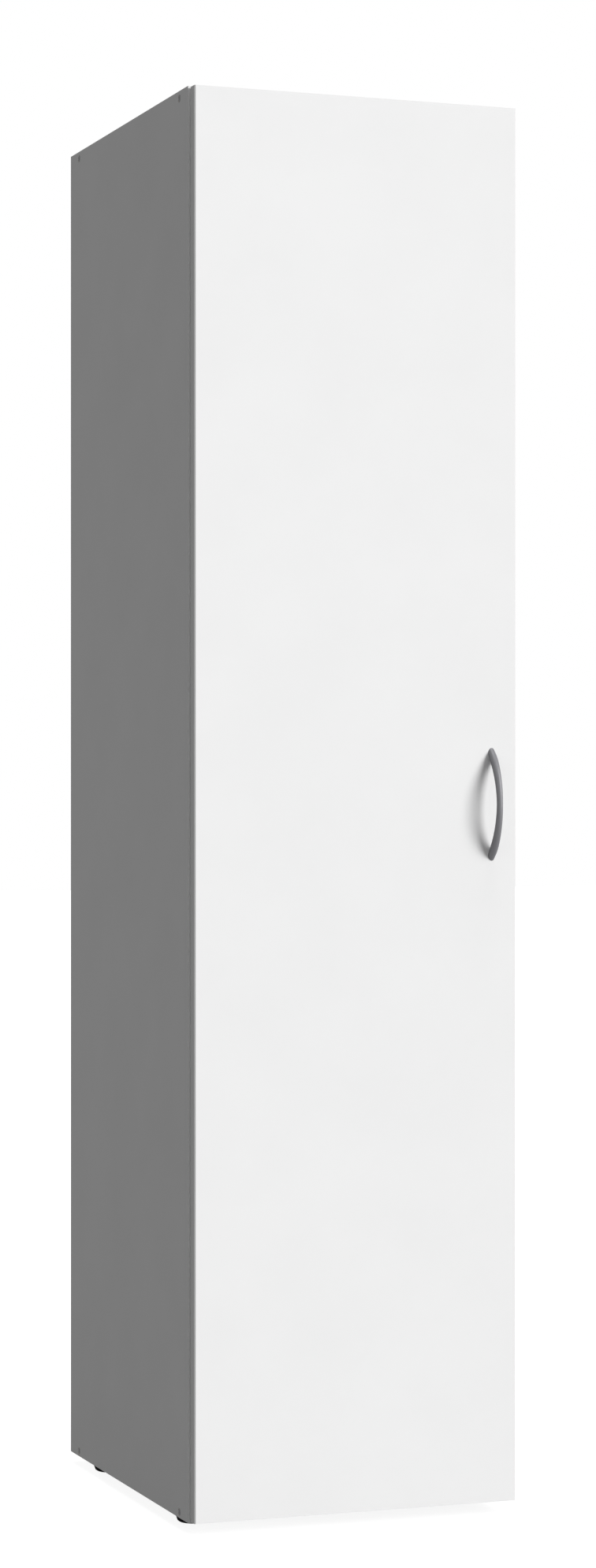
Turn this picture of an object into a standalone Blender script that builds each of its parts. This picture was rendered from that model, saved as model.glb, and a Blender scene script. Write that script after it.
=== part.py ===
"""Tall single-door cupboard of coated board, with shelves inside and concealed hinges on the left.

Metres, +Z up, +X to the right, the door faces -Y. The origin lies on the floor, midway across the
width and midway between the handle's front and the carcass's rear. Each object is one physical piece.
"""
import math

import bmesh
import bpy
from mathutils import Vector

# Fits
FIT = 0.0003                # gap between pieces that touch on the real object
OVERCUT = 0.002             # how far a cutter runs past the face that it opens

# Carcass
CASE_WIDTH = 0.450
CASE_HEIGHT = 1.835
CASE_DEPTH = 0.522
BOARD = 0.016               # coated particle board
BACK_THICK = 0.003          # hardboard back
BACK_INSET = 0.012          # carcass's rear edge to the rear of the back panel's groove
GROOVE_DEPTH = 0.008
GROOVE_WIDTH = BACK_THICK + 2 * FIT

# Door
DOOR_THICK = 0.016
DOOR_GAP = 0.002            # between the door's rear face and the carcass
SIDE_REVEAL = 0.0025        # the door's edge stands in from the carcass's side
END_REVEAL = 0.002          # the door's edge stands in from the carcass's top and bottom
EDGING = 0.0008             # thin edging at the right, top and bottom
LEFT_EDGING = 0.002         # thick edging at the hinge side
LEFT_ROUND = 0.0019         # its rounded front corner
LEFT_REAR_ROUND = 0.0010
BUMPER_RADIUS = 0.004
BUMPER_INSET = 0.040        # bumper to the door's top and bottom
BUMPER_THICK = DOOR_GAP - 2 * FIT

# Feet
FOOT_HEIGHT = 0.015
FOOT_INSET_X = 0.033        # foot's centre to the carcass's side
FOOT_INSET_Y = 0.079        # foot's centre to the carcass's front and rear edges
FOOT_TOP_RADIUS = 0.0247
FOOT_EDGE_RADIUS = 0.0201
FOOT_BOTTOM_RADIUS = 0.0168
FOOT_CHAMFER = 0.0021

# Handle
HANDLE_CENTRES = 0.128      # distance between the two handle screws
HANDLE_HALF_CHORD = 0.0670  # centre line's half length where it meets the door
HANDLE_RISE = 0.0270        # centre line's height above the door at mid length
HANDLE_BAR_RADIUS = 0.0041
HANDLE_TIP_SWELL = 0.0015   # the bar thickens by this much towards its ends
HANDLE_SWELL_POWER = 1.25   # how late along the bar it thickens
HANDLE_TIP_EASE = 0.0009    # and the tips round off by this much
HANDLE_EASE_SHARE = 0.2     # over this last share of each half
HANDLE_INSET = 0.0339       # handle to the door's right edge
HANDLE_SCREW_RADIUS = 0.002
HANDLE_SCREW_HEAD_RADIUS = 0.004
HANDLE_SCREW_HEAD = 0.0024
HANDLE_SCREW_BITE = 0.0060

# Carcass screws, one at each end of the top and bottom panels, front and rear
SCREW_INSET_FRONT = 0.035   # screw to the carcass's front edge
SCREW_INSET_REAR = 0.041    # screw to the carcass's rear edge
SCREW_FROM_TOP = 0.0097     # screw to the carcass's top
SCREW_FROM_BOTTOM = 0.0075  # screw to the carcass's bottom
SCREW_LENGTH = 0.050
SCREW_HEAD_RADIUS = 0.0048
SCREW_HEAD_RIM = 0.0010
SCREW_HEAD_DEPTH = 0.0040
SCREW_SHANK_RADIUS = 0.0033
SCREW_THREAD_RADIUS = 0.0024
SCREW_TIP_RADIUS = 0.0010
SCREW_RECESS = 0.0002       # the head lies this far below the panel's face
SOCKET_RADIUS = 0.0023
SOCKET_DEPTH = 0.0025
SOCKET_SIDES = 6
HEAD_CROWN = 0.75           # every domed head: radius at its top, as a share of its rim
HEAD_WALL = 0.6             # and the share of its height that stays straight

# Shelves
SHELF_NAMES = ("shelf_lower", "shelf_mid_lower", "fixed_shelf", "shelf_upper")
FIXED_SHELF = 2             # place of the fixed shelf, counted from the bottom, from 0
SHELF_SETBACK = 0.025       # shelf's front edge behind the carcass's front edge
SHELF_SIDE_CLEARANCE = 0.0008
PIN_RADIUS = 0.0025
PIN_TAIL_RADIUS = 0.0022
PIN_TAIL = 0.0085
PIN_REACH = 0.0095          # how far a pin stands out of the side panel
PIN_HOLE_DEPTH = 0.010
PIN_PITCH = 0.032           # spacing of the rows of holes
PIN_ROWS = (-1, 0, 1)       # rows above and below each loose shelf
PIN_INSET_FRONT = 0.060     # pins to the carcass's front edge
PIN_INSET_REAR = 0.080      # pins to the carcass's rear edge
CAM_RADIUS = 0.0073
CAM_DEPTH = 0.0125
CAM_INSET = 0.034           # cam's centre to the side panel
CAM_SLOT_WIDTH = 0.0016
CAM_SLOT_DEPTH = 0.0015

# Hinges. The arm's and the cup's pivots are set out from the side panel's outer face and front edge.
HINGE_END = 0.100           # top and bottom hinge to the door's ends
CUP_INSET = 0.0225          # cup's centre to the door's left edge
CUP_HOLE_RADIUS = 0.0175
CUP_WALL_INNER = 0.0156
CUP_HOLE_DEPTH = 0.0125
CUP_FLOOR = 0.0014
FLANGE_THICK = 0.001
FLANGE_RADIUS = 0.0190
WING_RADIUS = 0.0060
WING_OFFSET = 0.0095        # cup's screws stand this much further from the door's edge than the cup
WING_REACH = 0.0225         # and this far above and below the cup's centre
CUP_SCREW_RADIUS = 0.0016
CUP_SCREW_LENGTH = 0.011
CUP_SCREW_HEAD_RADIUS = 0.0036
CUP_SCREW_HEAD = 0.0007
ARM_PIVOT = (0.0362, -0.0095)
CUP_PIVOT = (0.0175, -0.0062)
PIVOT_PIN_RADIUS = 0.0013
LINK_EYE_RADIUS = 0.0026
LINK_WAIST = 0.0020
LINK_HALF_WIDTH = 0.0035
ARM_NOSE_RADIUS = 0.0028
ARM_SHEET = 0.0012
ARM_BODY = 0.009            # arm's thickness where it lies on the mounting plate
ARM_NECK = 0.006            # the neck runs straight back to here behind the carcass's front edge
ARM_SLANT = 0.014           # and slants over to the plate within this depth
ARM_LAG = 0.005             # its far side follows this much later
PLATE_THICK = 0.003
PLATE_FRONT = 0.022         # mounting plate's front end behind the carcass's front edge
PLATE_LENGTH = 0.036
PLATE_HALF_HEIGHT = 0.0085
PLATE_WING = 0.024          # mounting plate's screws stand this far above and below the arm
PLATE_SCREW_FROM_FRONT = 0.037
PLATE_SCREW_RADIUS = 0.0019
PLATE_SCREW_LENGTH = 0.011
PLATE_SCREW_HEAD_RADIUS = 0.0036
PLATE_SCREW_HEAD = 0.0012

# Roundness
ROUND_FINE = 32
ROUND = 20
ROUND_SMALL = 12
ROUND_HOLE = 10
HANDLE_RINGS = 24
HANDLE_SIDES = 16
CORNER_STEPS = 5
END_STEPS = 8
NOSE_STEPS = 10
SHARP_ANGLE = 35            # degrees
HANDLE_SHARP_ANGLE = 50

# Places that follow from the sizes above
HANDLE_REACH = FIT + HANDLE_RISE + HANDLE_BAR_RADIUS
TOTAL_DEPTH = CASE_DEPTH + DOOR_GAP + DOOR_THICK + HANDLE_REACH
BACK_Y = TOTAL_DEPTH / 2
FRONT_Y = BACK_Y - CASE_DEPTH
DOOR_REAR_Y = FRONT_Y - DOOR_GAP
DOOR_FRONT_Y = DOOR_REAR_Y - DOOR_THICK
RIGHT_X = CASE_WIDTH / 2
LEFT_X = -RIGHT_X
INNER_X = RIGHT_X - BOARD
CASE_BOTTOM = FOOT_HEIGHT
CASE_TOP = CASE_BOTTOM + CASE_HEIGHT
FLOOR_TOP = CASE_BOTTOM + BOARD
ROOF_BOTTOM = CASE_TOP - BOARD
MID_Z = CASE_BOTTOM + CASE_HEIGHT / 2
DOOR_LEFT = LEFT_X + SIDE_REVEAL
DOOR_RIGHT = RIGHT_X - SIDE_REVEAL
DOOR_BOTTOM = CASE_BOTTOM + END_REVEAL
DOOR_TOP = CASE_TOP - END_REVEAL
GROOVE_REAR = BACK_Y - BACK_INSET
GROOVE_FRONT = GROOVE_REAR - GROOVE_WIDTH
BACK_FRONT_Y = GROOVE_FRONT + FIT
HANDLE_X = DOOR_RIGHT - HANDLE_INSET
CUP_X = DOOR_LEFT + CUP_INSET
ARM_AXIS = (LEFT_X + ARM_PIVOT[0], FRONT_Y + ARM_PIVOT[1])
CUP_AXIS = (LEFT_X + CUP_PIVOT[0], FRONT_Y + CUP_PIVOT[1])
ARM_HALF_WIDTH = LINK_HALF_WIDTH + FIT + ARM_SHEET
HINGE_HEIGHTS = {"lower": DOOR_BOTTOM + HINGE_END, "middle": MID_Z, "upper": DOOR_TOP - HINGE_END}
SHELF_COUNT = len(SHELF_NAMES)
CLEAR_HEIGHT = (ROOF_BOTTOM - FLOOR_TOP - SHELF_COUNT * BOARD) / (SHELF_COUNT + 1)
SHELF_BOTTOMS = [FLOOR_TOP + CLEAR_HEIGHT + i * (CLEAR_HEIGHT + BOARD) for i in range(SHELF_COUNT)]
PIN_DROP = PIN_RADIUS + FIT  # a loose shelf's underside stands this far above its pins' axes

# Finishes: sRGB colour, roughness, metallic
FINISHES = {
    "grey_board": ((0.50, 0.50, 0.505), 0.55, 0.0),
    "white_board": ((0.94, 0.94, 0.94), 0.45, 0.0),
    "grey_edging": ((0.50, 0.50, 0.505), 0.45, 0.0),
    "hardboard": ((0.80, 0.80, 0.79), 0.70, 0.0),
    "black_plastic": ((0.02, 0.02, 0.02), 0.50, 0.0),
    "satin_handle": ((0.66, 0.66, 0.68), 0.38, 0.9),
    "plated_steel": ((0.74, 0.74, 0.75), 0.30, 1.0),
    "clear_rubber": ((0.85, 0.85, 0.84), 0.35, 0.0),
}


def to_linear(value):
    """One sRGB channel as a linear value."""
    return value / 12.92 if value <= 0.04045 else ((value + 0.055) / 1.055) ** 2.4


def paint(obj, finish):
    """Gives the object its own material."""
    colour, roughness, metallic = FINISHES[finish]
    material = bpy.data.materials.new(obj.name + "_" + finish)
    material.use_nodes = True
    shader = material.node_tree.nodes["Principled BSDF"]
    shader.inputs["Base Color"].default_value = [to_linear(c) for c in colour] + [1.0]
    shader.inputs["Roughness"].default_value = roughness
    shader.inputs["Metallic"].default_value = metallic
    obj.data.materials.append(material)


def prism(outline, axis, low, high):
    """A closed prism: the outline lies across the axis and is carried along it from low to high.

    The outline's two coordinates are the two other axes in X, Y, Z order.
    """
    def place(u, v, w):
        return {"X": (w, u, v), "Y": (u, w, v), "Z": (u, v, w)}[axis]
    count = len(outline)
    vertices = [place(u, v, w) for w in (low, high) for u, v in outline]
    faces = [tuple(range(count)), tuple(range(2 * count - 1, count - 1, -1))]
    faces += [(i, i + count, (i + 1) % count + count, (i + 1) % count) for i in range(count)]
    return vertices, faces


def block(low, high):
    """A rectangular block between two opposite corners."""
    outline = [(low[0], low[1]), (high[0], low[1]), (high[0], high[1]), (low[0], high[1])]
    return prism(outline, "Z", low[2], high[2])


def arc(centre, radius, start, end, steps):
    """Points on a circle from one angle to another, both in degrees."""
    angles = [math.radians(start + (end - start) * i / steps) for i in range(steps + 1)]
    return [(centre[0] + radius * math.cos(a), centre[1] + radius * math.sin(a)) for a in angles]


def capsule(start, end, radius):
    """Outline of a bar with round ends between two centres."""
    turn = math.degrees(math.atan2(end[1] - start[1], end[0] - start[0]))
    far = arc(end, radius, turn - 90, turn + 90, END_STEPS)
    near = arc(start, radius, turn + 90, turn + 270, END_STEPS)
    return far + near


def turned(profile, origin, direction, sides):
    """A turned solid: the profile's (distance, radius) points run along the direction from the origin."""
    forward = Vector(direction).normalized()
    across = forward.orthogonal().normalized()
    upward = forward.cross(across)
    vertices = []
    for distance, radius in profile:
        for k in range(sides):
            turn = 2 * math.pi * k / sides
            spoke = across * math.cos(turn) + upward * math.sin(turn)
            vertices.append(Vector(origin) + forward * distance + spoke * radius)
    faces = [tuple(range(sides))]
    last = (len(profile) - 1) * sides
    faces.append(tuple(range(last + sides - 1, last - 1, -1)))
    for ring in range(len(profile) - 1):
        for k in range(sides):
            here, beside = ring * sides + k, ring * sides + (k + 1) % sides
            faces.append((here, here + sides, beside + sides, beside))
    return vertices, faces


def solid(name, shells, pivot=(0.0, 0.0, 0.0), parent=None):
    """An object from closed shells given in world coordinates, with its origin at the pivot."""
    mesh = bpy.data.meshes.new(name)
    work = bmesh.new()
    for vertices, faces in shells:
        placed = [work.verts.new(Vector(v) - Vector(pivot)) for v in vertices]
        for face in faces:
            work.faces.new([placed[i] for i in face])
    bmesh.ops.recalc_face_normals(work, faces=work.faces)
    work.to_mesh(mesh)
    work.free()
    obj = bpy.data.objects.new(name, mesh)
    bpy.context.collection.objects.link(obj)
    if parent is None:
        obj.location = pivot
    else:
        obj.parent = parent
    return obj


def smooth(obj, degrees=SHARP_ANGLE):
    """Shades round faces smooth and keeps edges sharper than the angle."""
    obj.data.shade_smooth()
    obj.data.set_sharp_from_angle(angle=math.radians(degrees))


def boolean(obj, other, operation):
    """Adds a live Boolean with another object, which is then hidden."""
    step = obj.modifiers.new(other.name, "BOOLEAN")
    step.operation = operation
    step.solver = "EXACT"
    step.object = other
    other.hide_render = True
    other.display_type = "WIRE"


def cut(obj, shells, pivot=(0.0, 0.0, 0.0), parent=None):
    """Cuts closed shells out of an object."""
    boolean(obj, solid(obj.name + "_cut", shells, pivot, parent), "DIFFERENCE")


def join(obj, shells, pivot=(0.0, 0.0, 0.0), parent=None):
    """Unites overlapping closed shells with an object, one after the other."""
    for number, shell in enumerate(shells):
        boolean(obj, solid(f"{obj.name}_join_{number}", [shell], pivot, parent), "UNION")


def grown(profile, clearance):
    """A turned profile made larger all round by a clearance."""
    body = [(distance, radius + clearance) for distance, radius in profile]
    body[-1] = (profile[-1][0] + clearance, profile[-1][1] + clearance)
    return body


def case_screw_profile():
    """Countersunk head, thick shank through the side, thinner thread in the panel's end."""
    shank_end = BOARD + FIT / 2
    return [
        (SCREW_RECESS, SCREW_HEAD_RADIUS),
        (SCREW_HEAD_RIM, SCREW_HEAD_RADIUS),
        (SCREW_HEAD_DEPTH, SCREW_SHANK_RADIUS),
        (shank_end, SCREW_SHANK_RADIUS),
        (shank_end + SCREW_SHANK_RADIUS - SCREW_THREAD_RADIUS, SCREW_THREAD_RADIUS),
        (SCREW_LENGTH - SCREW_THREAD_RADIUS, SCREW_THREAD_RADIUS),
        (SCREW_LENGTH, SCREW_TIP_RADIUS),
    ]


def case_screw_places():
    """Name, origin on the side's outer face and inward direction of each carcass screw."""
    places = []
    for side, x, inward in (("left", LEFT_X, 1), ("right", RIGHT_X, -1)):
        for level, z in (("top", CASE_TOP - SCREW_FROM_TOP), ("bottom", CASE_BOTTOM + SCREW_FROM_BOTTOM)):
            for end, y in (("front", FRONT_Y + SCREW_INSET_FRONT), ("rear", BACK_Y - SCREW_INSET_REAR)):
                places.append((f"case_screw_{side}_{level}_{end}", (x, y, z), (inward, 0, 0)))
    return places


def case_screw_holes(side=None, level=None):
    """Cutters for the screws of one side or one level, each a little larger than its screw."""
    holes = []
    profile = grown(case_screw_profile(), FIT)
    profile.insert(0, (-OVERCUT, profile[0][1]))
    for name, origin, inward in case_screw_places():
        if (side and side in name) or (level and level in name):
            holes.append(turned(profile, origin, inward, ROUND_SMALL))
    return holes


def make_case_screws():
    """Eight countersunk screws with a six-sided socket in the head."""
    for name, origin, inward in case_screw_places():
        screw = solid(name, [turned(case_screw_profile(), origin, inward, ROUND)])
        socket = [(-OVERCUT, SOCKET_RADIUS), (SCREW_RECESS + SOCKET_DEPTH, SOCKET_RADIUS)]
        cut(screw, [turned(socket, origin, inward, SOCKET_SIDES)])
        smooth(screw)
        paint(screw, "plated_steel")


def pin_profile():
    """Thin tail in the side panel and a thicker round arm under the shelf, from the panel's inner face."""
    return [(-PIN_TAIL, PIN_TAIL_RADIUS), (FIT, PIN_TAIL_RADIUS), (FIT, PIN_RADIUS),
            (PIN_REACH - PIN_RADIUS / 2, PIN_RADIUS), (PIN_REACH, PIN_RADIUS / 2)]


def loose_shelves():
    """Number and name of each shelf that rests on pins."""
    return [(i, name) for i, name in enumerate(SHELF_NAMES) if i != FIXED_SHELF]


def pin_columns():
    """The two upright columns of pin holes on each side."""
    return (("front", FRONT_Y + PIN_INSET_FRONT), ("rear", BACK_Y - PIN_INSET_REAR))


def pin_holes(x, inward):
    """Cutters for the pin holes of one side: three rows around each loose shelf in two columns."""
    holes = []
    for number, _ in loose_shelves():
        for row in PIN_ROWS:
            z = SHELF_BOTTOMS[number] - PIN_DROP + row * PIN_PITCH
            for _, y in pin_columns():
                profile = [(-PIN_HOLE_DEPTH, PIN_RADIUS), (OVERCUT, PIN_RADIUS)]
                holes.append(turned(profile, (x, y, z), (inward, 0, 0), ROUND_HOLE))
    return holes


def make_shelf_pins():
    """Four pins under each loose shelf."""
    for number, name in loose_shelves():
        z = SHELF_BOTTOMS[number] - PIN_DROP
        for side, x, inward in (("left", -INNER_X, 1), ("right", INNER_X, -1)):
            for end, y in pin_columns():
                pin = solid(f"pin_{name}_{side}_{end}",
                            [turned(pin_profile(), (x, y, z), (inward, 0, 0), ROUND_SMALL)])
                smooth(pin)
                paint(pin, "plated_steel")


def cam_places():
    """Side, its sign, end and Y of the four cams that hold the fixed shelf."""
    sides = (("left", -1), ("right", 1))
    return [(side, sign, end, y) for side, sign in sides for end, y in pin_columns()]


def make_side(name, sign):
    """A full-height side with the back's groove, the screw holes and the pin holes."""
    outer, inner = sign * RIGHT_X, sign * INNER_X
    low_x, high_x = sorted((outer, inner))
    side = solid(name, [block((low_x, FRONT_Y, CASE_BOTTOM), (high_x, BACK_Y, CASE_TOP))])
    groove_low, groove_high = sorted((inner + sign * GROOVE_DEPTH, inner - sign * OVERCUT))
    cut(side, [block((groove_low, GROOVE_FRONT, CASE_BOTTOM - OVERCUT),
                     (groove_high, GROOVE_REAR, CASE_TOP + OVERCUT))])
    word = "left" if sign < 0 else "right"
    cut(side, case_screw_holes(side=word) + pin_holes(inner, -sign))
    if sign < 0:
        cut(side, [turned([(-PLATE_SCREW_LENGTH - FIT, PLATE_SCREW_RADIUS + FIT),
                           (OVERCUT, PLATE_SCREW_RADIUS + FIT)], place, (1, 0, 0), ROUND_SMALL)
                   for place in plate_screw_places()])
    paint(side, "grey_board")


def make_level(name, low, groove_up):
    """The top or bottom panel between the sides, grooved for the back on its inner face."""
    half = INNER_X - FIT
    panel = solid(name, [block((-half, FRONT_Y, low), (half, BACK_Y, low + BOARD))])
    face = low + BOARD if groove_up else low
    into = -1 if groove_up else 1
    groove = sorted((face + into * GROOVE_DEPTH, face - into * OVERCUT))
    cut(panel, [block((-RIGHT_X, GROOVE_FRONT, groove[0]), (RIGHT_X, GROOVE_REAR, groove[1]))])
    cut(panel, case_screw_holes(level="bottom" if groove_up else "top"))
    paint(panel, "grey_board")


def make_back():
    """The thin back panel, held in the grooves all round."""
    half = INNER_X + GROOVE_DEPTH - FIT
    low, high = FLOOR_TOP - GROOVE_DEPTH + FIT, ROOF_BOTTOM + GROOVE_DEPTH - FIT
    rear = BACK_FRONT_Y + BACK_THICK
    back = solid("back_panel", [block((-half, BACK_FRONT_Y, low), (half, rear, high))])
    paint(back, "hardboard")


def make_shelves():
    """Three loose shelves on pins and one fixed shelf held by cams."""
    for number, name in enumerate(SHELF_NAMES):
        low = SHELF_BOTTOMS[number]
        clearance = FIT if number == FIXED_SHELF else SHELF_SIDE_CLEARANCE
        half = INNER_X - clearance
        shelf = solid(name, [block((-half, FRONT_Y + SHELF_SETBACK, low),
                                   (half, BACK_FRONT_Y - FIT, low + BOARD))])
        if number == FIXED_SHELF:
            pocket = [(-OVERCUT, CAM_RADIUS + FIT), (CAM_DEPTH + FIT, CAM_RADIUS + FIT)]
            cut(shelf, [turned(pocket, (sign * (INNER_X - CAM_INSET), y, low), (0, 0, 1), ROUND)
                        for _, sign, _, y in cam_places()])
        paint(shelf, "grey_board")


def make_cams():
    """Four eccentric cams let into the fixed shelf's underside, each with a screwdriver slot."""
    low = SHELF_BOTTOMS[FIXED_SHELF]
    for side, sign, end, y in cam_places():
        x = sign * (INNER_X - CAM_INSET)
        cam = solid(f"shelf_cam_{side}_{end}",
                    [turned([(0, CAM_RADIUS), (CAM_DEPTH, CAM_RADIUS)], (x, y, low), (0, 0, 1), ROUND)])
        half = CAM_SLOT_WIDTH / 2
        cut(cam, [block((x - CAM_RADIUS - OVERCUT, y - half, low - OVERCUT),
                        (x + CAM_RADIUS + OVERCUT, y + half, low + CAM_SLOT_DEPTH))])
        smooth(cam)
        paint(cam, "plated_steel")


def make_feet():
    """Four round tapered feet with a bevelled lower edge."""
    profile = [(0, FOOT_BOTTOM_RADIUS), (FOOT_CHAMFER, FOOT_EDGE_RADIUS),
               (FOOT_HEIGHT - FIT, FOOT_TOP_RADIUS)]
    for end, y in (("front", FRONT_Y + FOOT_INSET_Y), ("rear", BACK_Y - FOOT_INSET_Y)):
        for side, x in (("left", LEFT_X + FOOT_INSET_X), ("right", RIGHT_X - FOOT_INSET_X)):
            foot = solid(f"foot_{end}_{side}", [turned(profile, (x, y, 0), (0, 0, 1), ROUND_FINE)])
            smooth(foot)
            paint(foot, "black_plastic")


def handle_screw_heights():
    """The handle's two screws stand evenly about the door's mid height."""
    return (("upper", MID_Z + HANDLE_CENTRES / 2), ("lower", MID_Z - HANDLE_CENTRES / 2))


def cup_screw_places(z):
    """The two screws in the wings of one hinge cup, on the door's rear face."""
    return [(CUP_X + WING_OFFSET, DOOR_REAR_Y, z + way * WING_REACH) for way in (-1, 1)]


def make_door(pivot, parent):
    """The door's board, bored for the cups, their screws and the handle's screws."""
    left = DOOR_LEFT + LEFT_EDGING + FIT
    right = DOOR_RIGHT - EDGING - FIT
    low, high = DOOR_BOTTOM + EDGING + FIT, DOOR_TOP - EDGING - FIT
    board = block((left, DOOR_FRONT_Y, low), (right, DOOR_REAR_Y, high))
    door = solid("door_panel", [board], pivot, parent)
    holes = []
    for z in HINGE_HEIGHTS.values():
        bore = [(-OVERCUT, CUP_HOLE_RADIUS), (CUP_HOLE_DEPTH, CUP_HOLE_RADIUS)]
        holes.append(turned(bore, (CUP_X, DOOR_REAR_Y, z), (0, -1, 0), ROUND_FINE))
        pilot = [(-OVERCUT, CUP_SCREW_RADIUS + FIT), (CUP_SCREW_LENGTH + FIT, CUP_SCREW_RADIUS + FIT)]
        holes += [turned(pilot, place, (0, -1, 0), ROUND_HOLE) for place in cup_screw_places(z)]
    for _, z in handle_screw_heights():
        bore = [(-OVERCUT, HANDLE_SCREW_RADIUS + FIT), (DOOR_THICK + OVERCUT, HANDLE_SCREW_RADIUS + FIT)]
        holes.append(turned(bore, (HANDLE_X, DOOR_REAR_Y, z), (0, -1, 0), ROUND_SMALL))
    cut(door, holes, pivot, parent)
    paint(door, "white_board")


def make_edging(pivot, parent):
    """Edging on the door's four edges: thick with rounded corners at the hinge side, thin elsewhere."""
    inner = DOOR_LEFT + LEFT_EDGING
    front = arc((DOOR_LEFT + LEFT_ROUND, DOOR_FRONT_Y + LEFT_ROUND), LEFT_ROUND, 270, 180, CORNER_STEPS)
    rear_centre = (DOOR_LEFT + LEFT_REAR_ROUND, DOOR_REAR_Y - LEFT_REAR_ROUND)
    rear = arc(rear_centre, LEFT_REAR_ROUND, 180, 90, CORNER_STEPS)
    outline = [(inner, DOOR_FRONT_Y)] + front + rear + [(inner, DOOR_REAR_Y)]
    strips = {
        "door_edging_left": prism(outline, "Z", DOOR_BOTTOM, DOOR_TOP),
        "door_edging_right": block((DOOR_RIGHT - EDGING, DOOR_FRONT_Y, DOOR_BOTTOM),
                                   (DOOR_RIGHT, DOOR_REAR_Y, DOOR_TOP)),
    }
    for name, low in (("door_edging_top", DOOR_TOP - EDGING), ("door_edging_bottom", DOOR_BOTTOM)):
        strips[name] = block((inner + FIT, DOOR_FRONT_Y, low),
                             (DOOR_RIGHT - EDGING - FIT, DOOR_REAR_Y, low + EDGING))
    for name, shell in strips.items():
        strip = solid(name, [shell], pivot, parent)
        smooth(strip)
        paint(strip, "grey_edging")


def handle_shell():
    """The bar swept along a circular arc, with its ends sliced off by the door's front face.

    The arc's radius follows from its half chord and its rise. Each ring lies square to the arc, and the
    points of the end rings slide along the bar until they lie on the slicing plane.
    """
    radius = (HANDLE_HALF_CHORD ** 2 + HANDLE_RISE ** 2) / (2 * HANDLE_RISE)
    reach = math.asin(HANDLE_HALF_CHORD / radius)
    plane = DOOR_FRONT_Y - FIT
    centre_y = plane - HANDLE_RISE + radius
    vertices = []
    for ring in range(HANDLE_RINGS + 1):
        share = 2 * ring / HANDLE_RINGS - 1
        turn = share * reach
        tip = max(0.0, 1 - (1 - abs(share)) / HANDLE_EASE_SHARE)
        swell = HANDLE_TIP_SWELL * abs(share) ** HANDLE_SWELL_POWER
        bar = HANDLE_BAR_RADIUS + swell - HANDLE_TIP_EASE * tip ** 2
        out = Vector((0, -math.cos(turn), math.sin(turn)))
        along = Vector((0, math.sin(turn), math.cos(turn)))
        middle = Vector((HANDLE_X, centre_y, MID_Z)) + out * radius
        for k in range(HANDLE_SIDES):
            spin = 2 * math.pi * k / HANDLE_SIDES
            point = middle + out * bar * math.cos(spin) + Vector((1, 0, 0)) * bar * math.sin(spin)
            if ring in (0, HANDLE_RINGS):
                point += along * (plane - point.y) / along.y
            vertices.append(point)
    last = HANDLE_RINGS * HANDLE_SIDES
    faces = [tuple(range(HANDLE_SIDES)), tuple(range(last + HANDLE_SIDES - 1, last - 1, -1))]
    for ring in range(HANDLE_RINGS):
        for k in range(HANDLE_SIDES):
            here, beside = ring * HANDLE_SIDES + k, ring * HANDLE_SIDES + (k + 1) % HANDLE_SIDES
            faces.append((here, here + HANDLE_SIDES, beside + HANDLE_SIDES, beside))
    return vertices, faces


def make_handle(pivot, parent):
    """The bow handle, bored at both ends, and its two screws from inside the door."""
    handle = solid("bow_handle", [handle_shell()], pivot, parent)
    hole = [(-OVERCUT, HANDLE_SCREW_RADIUS + FIT),
            (HANDLE_SCREW_BITE + FIT, HANDLE_SCREW_RADIUS + FIT)]
    cut(handle, [turned(hole, (HANDLE_X, DOOR_FRONT_Y, z), (0, -1, 0), ROUND_HOLE)
                 for _, z in handle_screw_heights()], pivot, parent)
    smooth(handle, HANDLE_SHARP_ANGLE)
    paint(handle, "satin_handle")
    head = HANDLE_SCREW_HEAD
    profile = [(-FIT - head, HANDLE_SCREW_HEAD_RADIUS * HEAD_CROWN),
               (-FIT - head * HEAD_WALL, HANDLE_SCREW_HEAD_RADIUS),
               (-FIT, HANDLE_SCREW_HEAD_RADIUS), (-FIT, HANDLE_SCREW_RADIUS),
               (DOOR_THICK + HANDLE_SCREW_BITE - FIT, HANDLE_SCREW_RADIUS)]
    for word, z in handle_screw_heights():
        screw = solid("handle_screw_" + word,
                      [turned(profile, (HANDLE_X, DOOR_REAR_Y, z), (0, -1, 0), ROUND_SMALL)], pivot, parent)
        smooth(screw)
        paint(screw, "plated_steel")


def make_bumpers(pivot, parent):
    """Two soft pads on the door's rear face, which meet the right side's front edge."""
    x = RIGHT_X - BOARD / 2
    profile = [(FIT, BUMPER_RADIUS), (FIT + BUMPER_THICK / 2, BUMPER_RADIUS),
               (FIT + BUMPER_THICK, BUMPER_RADIUS / 2)]
    for word, z in (("upper", DOOR_TOP - BUMPER_INSET), ("lower", DOOR_BOTTOM + BUMPER_INSET)):
        pad = solid("door_bumper_" + word,
                    [turned(profile, (x, DOOR_REAR_Y, z), (0, 1, 0), ROUND_SMALL)], pivot, parent)
        smooth(pad)
        paint(pad, "clear_rubber")


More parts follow.
